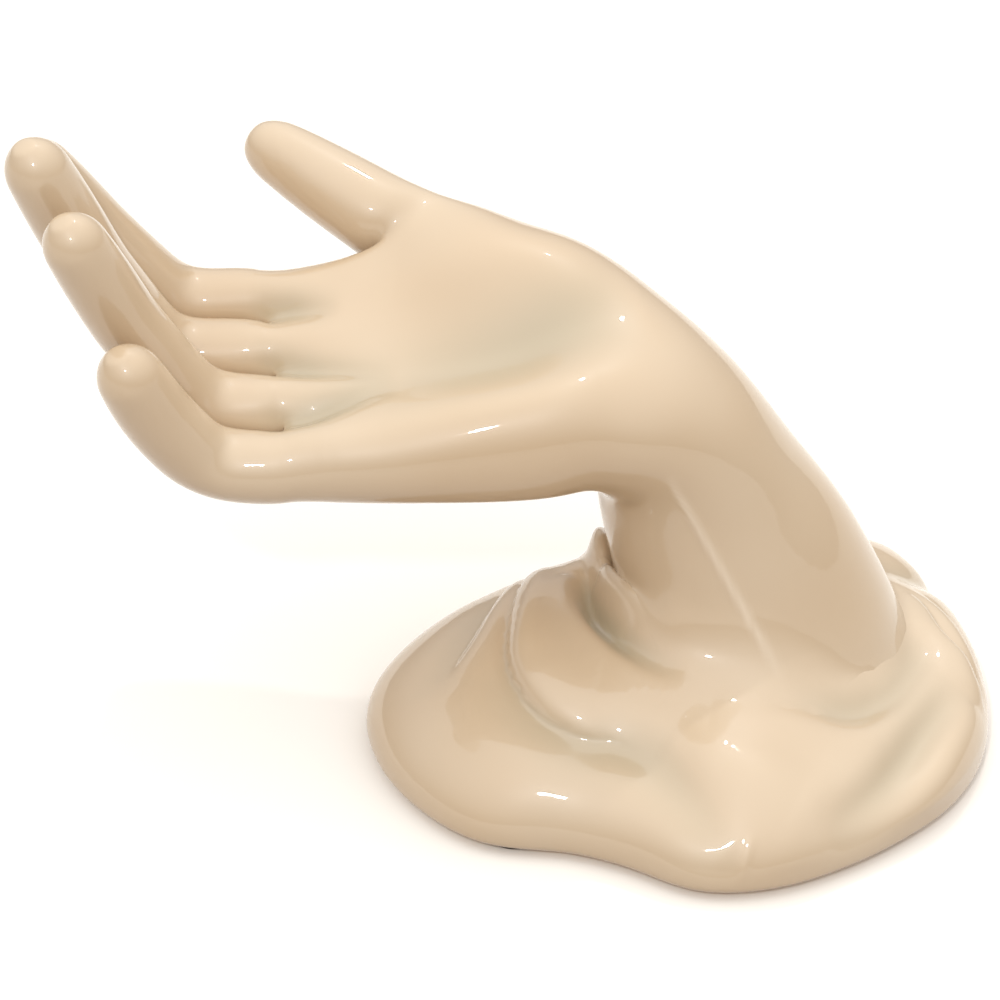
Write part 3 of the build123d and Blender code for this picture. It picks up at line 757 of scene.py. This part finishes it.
places = meshArray(drapeMesh, "co") / mm
normals = meshArray(drapeMesh, "normal")
lift = sum(foldLift(places[:, :2], fold) for fold in folds.values())
fade = np.clip((places[:, 2] - foldFinish["from"]) / foldFinish["over"], 0, 1)
fade = fade ** 2 * (3 - 2 * fade)
places += normals * (lift * fade * np.clip(normals[:, 2] * foldFinish["facing"], 0, 1))[:, None]
distance, side = armDistance(places)
inRange = np.clip(np.minimum(side - runIn["from"], runIn["to"] - side) / runIn["fade"] + 0.5, 0, 1)
inRange = inRange ** 2 * (3 - 2 * inRange)
share = runIn["elsewhere"] + (1 - runIn["elsewhere"]) * inRange
near = np.clip(1 - distance / (runIn["width"] * share), 0, runIn["most"])
places[:, 2] += runIn["height"] * share * near ** 2 * fade
drapeMesh.vertices.foreach_set("co", (places * mm).ravel())
# the valleys of the folds are tinted darker: glaze pooled in them, and painted shade in the creases
setTint(drapeMesh, "poolAndShade", -lift / foldFinish["fullPoolAndShade"] * fade)
setTint(drapeMesh, "seamPale", np.zeros(len(places)))
bm = bmesh.new()
bm.from_mesh(drapeMesh)
upper = [v for v in bm.verts if v.co.z > foldFinish["above"] * mm]
for _ in range(foldFinish["passes"]):
    soften(bm, upper, foldFinish["factor"])
bmesh.ops.recalc_face_normals(bm, faces=bm.faces)
bm.to_mesh(drapeMesh)
bm.free()
drapery = addObject("glazed_drapery", drapeMesh)
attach(drapery, "root")
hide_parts("drapery_base")
print("drapery made")

# the seam of the mould on the front of the forearm: how far it is turned from the little finger's
# side towards the back, at two places along the arm, its half width (degrees) and its height
armSeam = {"turns": (10, -6.5), "at": (31, 90), "width": 2.0, "height": 0.5, "from": 28, "to": 98,
           "fade": 12, "halfDepth": 33, "halfWidth": 30}
# where the arm flares out and runs into the cloth without an edge: how far out and how high, on
# which sides of the arm (0 the palm side, 90 the thumb side, degrees), and how much elsewhere.
# Only what is below one height and beyond one x can reach the cloth. The last part of the flare
# is shaded as the cloth and takes its darker tint of pooled glaze and painted shade.
flare = {"width": 14, "height": 16, "from": -132, "to": -60, "fade": 40, "elsewhere": 0.06, "sink": 0.3,
         "below": 75, "beyond": 20, "rayFrom": 90, "steps": 9, "lastPart": 2.2, "gain": 4}


def flareArm(mesh, cloth):
    corners = [list(p.vertices) for p in cloth.polygons]
    tree = bvhtree.BVHTree.FromPolygons([v.co for v in cloth.vertices], corners)
    down = Vector((0, 0, -1))
    places = meshArray(mesh, "co") / mm
    normals = meshArray(mesh, "normal")
    lean = math.radians(boneLine["armLean"])
    local = places - np.array(boneLine["armFoot"])
    along = local @ np.array((-math.sin(lean), 0, math.cos(lean)))
    lift = local @ np.array((math.cos(lean), 0, math.sin(lean)))
    turn = np.degrees(np.arctan2(lift / armSeam["halfDepth"], -local[:, 1] / armSeam["halfWidth"]))
    seamTurn = np.interp(along, armSeam["at"], armSeam["turns"])
    ends = np.clip(np.minimum(along - armSeam["from"], armSeam["to"] - along) / armSeam["fade"], 0, 1)
    ridge = armSeam["height"] * np.exp(-((turn - seamTurn) / armSeam["width"]) ** 2) * ends
    places += normals * ridge[:, None]
    # the colour is made paler along the ridge
    setTint(mesh, "seamPale", ridge / armSeam["height"])
    side = armDistance(places)[1]
    inRange = np.clip(np.minimum(side - flare["from"], flare["to"] - side) / flare["fade"] + 0.5, 0, 1)
    share = flare["elsewhere"] + (1 - flare["elsewhere"]) * inRange ** 2 * (3 - 2 * inRange)
    steps = np.linspace(0, 1, flare["steps"])
    run = np.zeros_like(places)
    poolAndShade, clothPoolAndShade = np.empty(len(places)), np.empty(len(cloth.vertices))
    mesh.attributes["poolAndShade"].data.foreach_get("value", poolAndShade)
    cloth.attributes["poolAndShade"].data.foreach_get("value", clothPoolAndShade)
    for n in np.nonzero((places[:, 2] < flare["below"]) & (places[:, 0] > flare["beyond"]))[0]:
        out = normals[n, :2] / (np.hypot(*normals[n, :2]) + 1e-9)
        offs, heights = flare["width"] * share[n] * steps ** 2, []
        for off in offs:
            start = Vector((places[n, 0] + out[0] * off, places[n, 1] + out[1] * off, flare["rayFrom"])) * mm
            found = tree.ray_cast(start, down)[0]
            heights.append(found.z / mm if found else 0)
        heights = np.array(heights) + flare["height"] * share[n] * (1 - steps) ** 2 - flare["sink"]
        heights = np.minimum.accumulate(heights)
        places[n, :2] += out * np.interp(-places[n, 2], -heights, offs)
        end = np.interp(-places[n, 2], -heights, steps) * flare["lastPart"] - 1
        end = np.clip(end, 0, 1) * min(share[n] * flare["gain"], 1)
        if end > 0:
            found = tree.ray_cast(Vector((places[n, 0], places[n, 1], flare["rayFrom"])) * mm, down)
            if found[0]:
                end *= end * (3 - 2 * end)
                run[n] = end * np.array(found[1])
                # the flare's end takes the cloth's darker tint of pooled glaze and painted shade
                poolAndShade[n] = max(poolAndShade[n], end * clothPoolAndShade[corners[found[2]]].mean())
    setTint(mesh, "poolAndShade", poolAndShade)
    mesh.vertices.foreach_set("co", (places * mm).ravel())
    mesh.update()
    weight = np.hypot(np.hypot(run[:, 0], run[:, 1]), run[:, 2])[:, None]
    mixed = run + (1 - weight) * meshArray(mesh, "normal")
    mixed /= np.linalg.norm(mixed, axis=1)[:, None]
    layer = mesh.attributes.new("run", "FLOAT_VECTOR", "POINT")
    layer.data.foreach_set("vector", np.where(weight > 0, mixed, 0).ravel())


flareArm(handMesh, drapeMesh)
pieces = [cutPart(handMesh, name, number) for number, name in enumerate(partNames)]
pieces.append(drapery)
print("hand cut into", len(partNames), "castings")


def makeMaterial(name):
    material = bpy.data.materials.new(name)
    material.use_nodes = True
    nodes = material.node_tree.nodes
    nodes.clear()
    output = nodes.new("ShaderNodeOutputMaterial")
    shader = nodes.new("ShaderNodeBsdfPrincipled")
    material.node_tree.links.new(shader.outputs["BSDF"], output.inputs["Surface"])
    return material, nodes, material.node_tree.links, shader


glazeLook = {
    "cream": (0.58, 0.43, 0.275, 1),
    "pale": (0.61, 0.475, 0.325, 1),
    # darker grey-green of the hollows: pooled glaze and painted shade
    "pooledAndShaded": (0.45, 0.368, 0.245, 1),
    # paler colour along the seam
    "seamPale": (0.72, 0.59, 0.44, 1),
    "speck": (0.20, 0.13, 0.07, 1),
    "roughness": 0.42,
    "coatRoughness": 0.035,
    "ripple": 0.05,
    "rippleScale": 120,
    "clouds": 14,
    "pinholes": 42,
    "rareness": 30,
}
glaze, nodes, links, shader = makeMaterial("cream glaze")
coordinates = nodes.new("ShaderNodeTexCoord")


def noise(scale, detail=2):
    texture = nodes.new("ShaderNodeTexNoise")
    texture.inputs["Scale"].default_value = scale
    texture.inputs["Detail"].default_value = detail
    links.new(coordinates.outputs["Object"], texture.inputs["Vector"])
    return texture.outputs["Fac"]


def spread(value, low, high, first=0, last=1):
    ramp = nodes.new("ShaderNodeMapRange")
    for name, setting in (("From Min", low), ("From Max", high), ("To Min", first), ("To Max", last)):
        ramp.inputs[name].default_value = setting
    links.new(value, ramp.inputs["Value"])
    return ramp.outputs["Result"]


def blend(factor, first, second):
    mix = nodes.new("ShaderNodeMix")
    mix.data_type = "RGBA"
    for name, value in (("A", first), ("B", second)):
        if isinstance(value, tuple):
            mix.inputs[name].default_value = value
        else:
            links.new(value, mix.inputs[name])
    links.new(factor, mix.inputs["Factor"])
    return mix.outputs["Result"]


# the cream breaks to a paler tint in clouds, the hollows turn a darker grey-green, partly with
# pooled glaze and partly with painted shade, and the colour is paler along the seam
colour = blend(spread(noise(glazeLook["clouds"]), 0.35, 0.7), glazeLook["cream"], glazeLook["pale"])
for name, tint in (("poolAndShade", "pooledAndShaded"), ("seamPale", "seamPale")):
    attribute = nodes.new("ShaderNodeAttribute")
    attribute.attribute_name = name
    colour = blend(attribute.outputs["Fac"], colour, glazeLook[tint])
# a few pinholes, far apart
dots = nodes.new("ShaderNodeTexVoronoi")
dots.inputs["Scale"].default_value = glazeLook["pinholes"]
links.new(coordinates.outputs["Object"], dots.inputs["Vector"])
near = spread(dots.outputs["Distance"], 0.012, 0.03, 1, 0)
rare = spread(noise(glazeLook["rareness"], 0), 0.66, 0.70)
both = nodes.new("ShaderNodeMath")
both.operation = "MULTIPLY"
links.new(near, both.inputs[0])
links.new(rare, both.inputs[1])
colour = blend(both.outputs["Value"], colour, glazeLook["speck"])
links.new(colour, shader.inputs["Base Color"])
shader.inputs["Roughness"].default_value = glazeLook["roughness"]
shader.inputs["Coat Weight"].default_value = 1
shader.inputs["Coat Roughness"].default_value = glazeLook["coatRoughness"]
# the glaze lies in a very slight ripple
bump = nodes.new("ShaderNodeBump")
bump.inputs["Strength"].default_value = glazeLook["ripple"]
bump.inputs["Distance"].default_value = 0.001
links.new(noise(glazeLook["rippleScale"]), bump.inputs["Height"])
links.new(bump.outputs["Normal"], shader.inputs["Normal"])
links.new(bump.outputs["Normal"], shader.inputs["Coat Normal"])
for piece in pieces:
    piece.data.materials.append(glaze)

feltLook = {
    "dark": (0.035, 0.024, 0.016, 1),
    "light": (0.075, 0.054, 0.038, 1),
    "grain": 2500,
    "roughness": 0.95,
    "nap": 0.6,
    "napGrain": 4000,
}
felt, nodes, links, shader = makeMaterial("brown felt")
coordinates = nodes.new("ShaderNodeTexCoord")
fibres = blend(spread(noise(feltLook["grain"]), 0.3, 0.7), feltLook["dark"], feltLook["light"])
links.new(fibres, shader.inputs["Base Color"])
shader.inputs["Roughness"].default_value = feltLook["roughness"]
nap = nodes.new("ShaderNodeBump")
nap.inputs["Strength"].default_value = feltLook["nap"]
nap.inputs["Distance"].default_value = 0.0004
links.new(noise(feltLook["napGrain"]), nap.inputs["Height"])
links.new(nap.outputs["Normal"], shader.inputs["Normal"])
for name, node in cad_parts.items():
    if name.startswith("felt_pad"):
        node.data.materials.clear()
        node.data.materials.append(felt)
print("materials made")

# Camera, floor and light
shot = {"place": (-5.7, -650.2, 531.8), "aim": (-5.7, 5.1, 72.9), "lens": 103.7, "sensor": 36}
target = Vector(shot["aim"]) * mm
cameraData = bpy.data.cameras.new("camera")
cameraData.lens = shot["lens"]
cameraData.sensor_width = shot["sensor"]
camera = addObject("camera", cameraData)
camera.location = Vector(shot["place"]) * mm
camera.rotation_euler = (target - camera.location).to_track_quat("-Z", "Y").to_euler()
bpy.context.scene.camera = camera

paperLook = {"halfSize": 3, "colour": (0.95, 0.91, 0.85, 1), "roughness": 0.9}
bm = bmesh.new()
bmesh.ops.create_grid(bm, x_segments=4, y_segments=4, size=paperLook["halfSize"])
floorMesh = bpy.data.meshes.new("floor")
bm.to_mesh(floorMesh)
bm.free()
floor = addObject("floor", floorMesh)
paper, nodes, links, shader = makeMaterial("pale paper")
shader.inputs["Base Color"].default_value = paperLook["colour"]
shader.inputs["Roughness"].default_value = paperLook["roughness"]
floorMesh.materials.append(paper)

# a soft white sky, brighter overhead than at the level of the table, and the weak warm light
# that a table would send back from below
sky = {"level": 0.45, "overhead": 1.65, "below": 0.42, "warmth": (1.0, 0.74, 0.52, 1),
       "horizon": (-0.45, 0.35)}
world = bpy.data.worlds.new("studio")
world.use_nodes = True
nodes, links = world.node_tree.nodes, world.node_tree.links
direction = nodes.new("ShaderNodeTexCoord")
parts = nodes.new("ShaderNodeSeparateXYZ")
links.new(direction.outputs["Generated"], parts.inputs["Vector"])
up = spread(parts.outputs["Z"], *sky["horizon"])
links.new(blend(up, sky["warmth"], (1, 1, 1, 1)), nodes["Background"].inputs["Color"])
height = spread(parts.outputs["Z"], 0, 1, sky["level"], sky["overhead"])
strength = nodes.new("ShaderNodeMix")
strength.inputs["A"].default_value = sky["below"]
links.new(up, strength.inputs["Factor"])
links.new(height, strength.inputs["B"])
links.new(strength.outputs["Result"], nodes["Background"].inputs["Strength"])
floor.visible_diffuse = False
bpy.context.scene.world = world
bpy.context.scene.view_settings.view_transform = "Standard"


# two small lamps make the highlights: places and aims in metres, size across, and power
lamps = {
    "key": {"place": (-0.10, -0.64, 0.66), "aim": (0, 0, 0.09), "size": 0.04, "power": 1.7},
    "behind": {"place": (0.23, 0.49, 1.15), "aim": (0, 0, 0.08), "size": 0.035, "power": 1.6},
}
for name, lamp in lamps.items():
    data = bpy.data.lights.new(name, "AREA")
    data.size = lamp["size"]
    data.energy = lamp["power"]
    light = addObject(name, data)
    light.location = lamp["place"]
    light.rotation_euler = (Vector(lamp["aim"]) - Vector(lamp["place"])).to_track_quat("-Z", "Y").to_euler()
print("camera, floor and light set")
